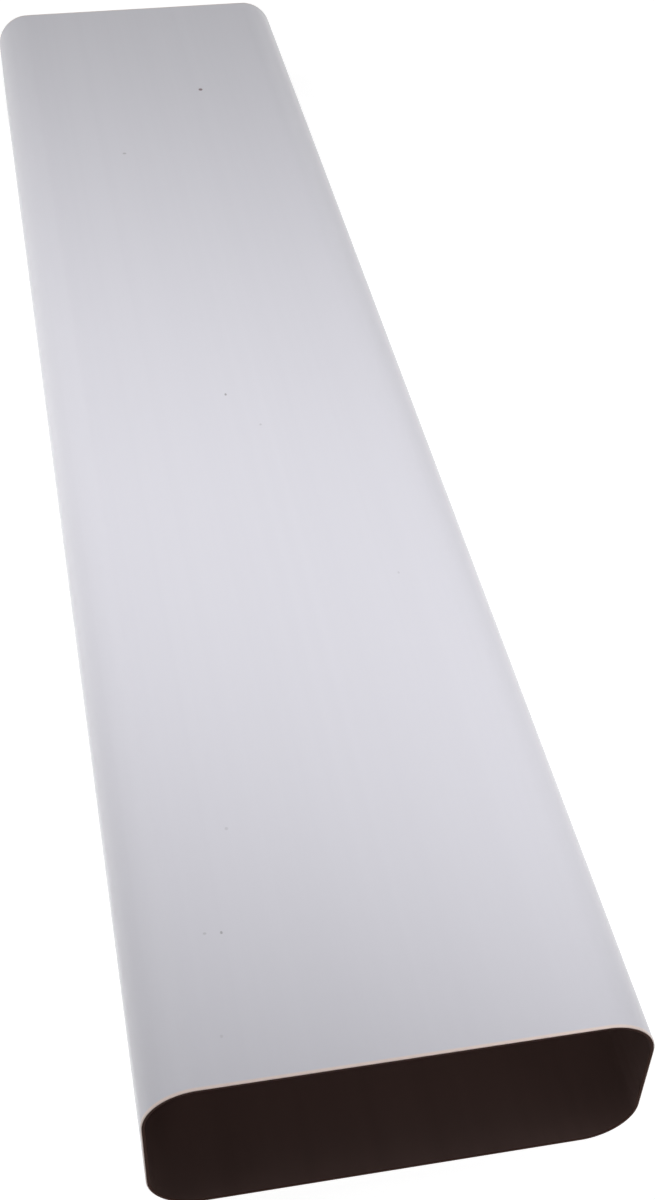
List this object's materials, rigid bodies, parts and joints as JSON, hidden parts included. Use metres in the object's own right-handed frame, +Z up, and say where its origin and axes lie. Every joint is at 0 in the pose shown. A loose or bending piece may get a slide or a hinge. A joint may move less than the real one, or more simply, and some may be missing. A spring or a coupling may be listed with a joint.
{
  "type": "flat channel duct",
  "caption": "Flat rectangular ventilation duct with large rounded corners and a thin even wall, open at both ends, white outside and dark brown inside.",
  "frame": {"origin": "on the floor, under the middle of the duct's length and width", "axes": "+Y along the duct's length, away from the open end that the picture shows; +X across its width; +Z up, through its height"},
  "size_m": [0.22, 1, 0.09],
  "materials": {
    "duct_plastic": "satin white extruded plastic outside, dark brown inside and on the sawn ends"
  },
  "bodies": {
    "root": {"channel_duct": "duct_plastic"}
  },
  "joints": []
}
